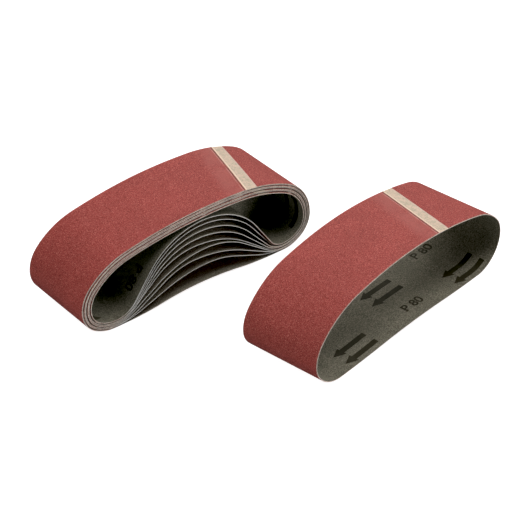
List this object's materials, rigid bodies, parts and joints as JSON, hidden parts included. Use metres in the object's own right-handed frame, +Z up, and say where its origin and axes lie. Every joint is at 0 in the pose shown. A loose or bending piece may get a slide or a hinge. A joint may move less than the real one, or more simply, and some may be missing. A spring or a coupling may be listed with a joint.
{
  "type": "sanding belt set",
  "caption": "Set of closed-loop cloth sanding belts with a taped skew splice: a nest of belts inside one another and a loose one beside it.",
  "frame": {"origin": "on the table, under the middle of the whole set's box", "axes": "+X along the nest, to its splice end; +Y from the loose belt to the nest; +Z up"},
  "size_m": [0.3302, 0.2438, 0.0773],
  "materials": {
    "abrasive_coat": "matt red-brown grain, about grit 80",
    "backing_cloth": "matt resin-filled twill, dark olive grey",
    "splice_tape": "matt cream reinforcing tape"
  },
  "bodies": {
    "belt_01": {"belt_01_backing_cloth": "backing_cloth", "belt_01_abrasive_coat": "abrasive_coat", "belt_01_splice_tape": "splice_tape"},
    "belt_02": {"belt_02_backing_cloth": "backing_cloth", "belt_02_abrasive_coat": "abrasive_coat", "belt_02_splice_tape": "splice_tape"},
    "belt_03": {"belt_03_backing_cloth": "backing_cloth", "belt_03_abrasive_coat": "abrasive_coat", "belt_03_splice_tape": "splice_tape"},
    "belt_04": {"belt_04_backing_cloth": "backing_cloth", "belt_04_abrasive_coat": "abrasive_coat", "belt_04_splice_tape": "splice_tape"},
    "belt_05": {"belt_05_backing_cloth": "backing_cloth", "belt_05_abrasive_coat": "abrasive_coat", "belt_05_splice_tape": "splice_tape"},
    "belt_06": {"belt_06_backing_cloth": "backing_cloth", "belt_06_abrasive_coat": "abrasive_coat", "belt_06_splice_tape": "splice_tape"},
    "belt_07": {"belt_07_backing_cloth": "backing_cloth", "belt_07_abrasive_coat": "abrasive_coat", "belt_07_splice_tape": "splice_tape"},
    "belt_08": {"belt_08_backing_cloth": "backing_cloth", "belt_08_abrasive_coat": "abrasive_coat", "belt_08_splice_tape": "splice_tape"},
    "belt_09": {"belt_09_backing_cloth": "backing_cloth", "belt_09_abrasive_coat": "abrasive_coat", "belt_09_splice_tape": "splice_tape"},
    "belt_10": {"belt_10_backing_cloth": "backing_cloth", "belt_10_abrasive_coat": "abrasive_coat", "belt_10_splice_tape": "splice_tape"}
  },
  "joints": [
    {"name": "belt_02_slide_out", "type": "slide", "parent": "belt_01", "child": "belt_02", "axis": [0, 1, 0], "range_m": [0, 0.09]},
    {"name": "belt_03_slide_out", "type": "slide", "parent": "belt_01", "child": "belt_03", "axis": [0, 1, 0], "range_m": [0, 0.09]},
    {"name": "belt_04_slide_out", "type": "slide", "parent": "belt_01", "child": "belt_04", "axis": [0, 1, 0], "range_m": [0, 0.09]},
    {"name": "belt_05_slide_out", "type": "slide", "parent": "belt_01", "child": "belt_05", "axis": [0, 1, 0], "range_m": [0, 0.09]},
    {"name": "belt_06_slide_out", "type": "slide", "parent": "belt_01", "child": "belt_06", "axis": [0, 1, 0], "range_m": [0, 0.09]},
    {"name": "belt_07_slide_out", "type": "slide", "parent": "belt_01", "child": "belt_07", "axis": [0, 1, 0], "range_m": [0, 0.09]},
    {"name": "belt_08_slide_out", "type": "slide", "parent": "belt_01", "child": "belt_08", "axis": [0, 1, 0], "range_m": [0, 0.09]},
    {"name": "belt_09_slide_out", "type": "slide", "parent": "belt_01", "child": "belt_09", "axis": [0, 1, 0], "range_m": [0, 0.09]},
    {"name": "belt_10_lift", "type": "slide", "parent": "belt_01", "child": "belt_10", "axis": [0, 0, 1], "range_m": [0, 0.12]}
  ]
}
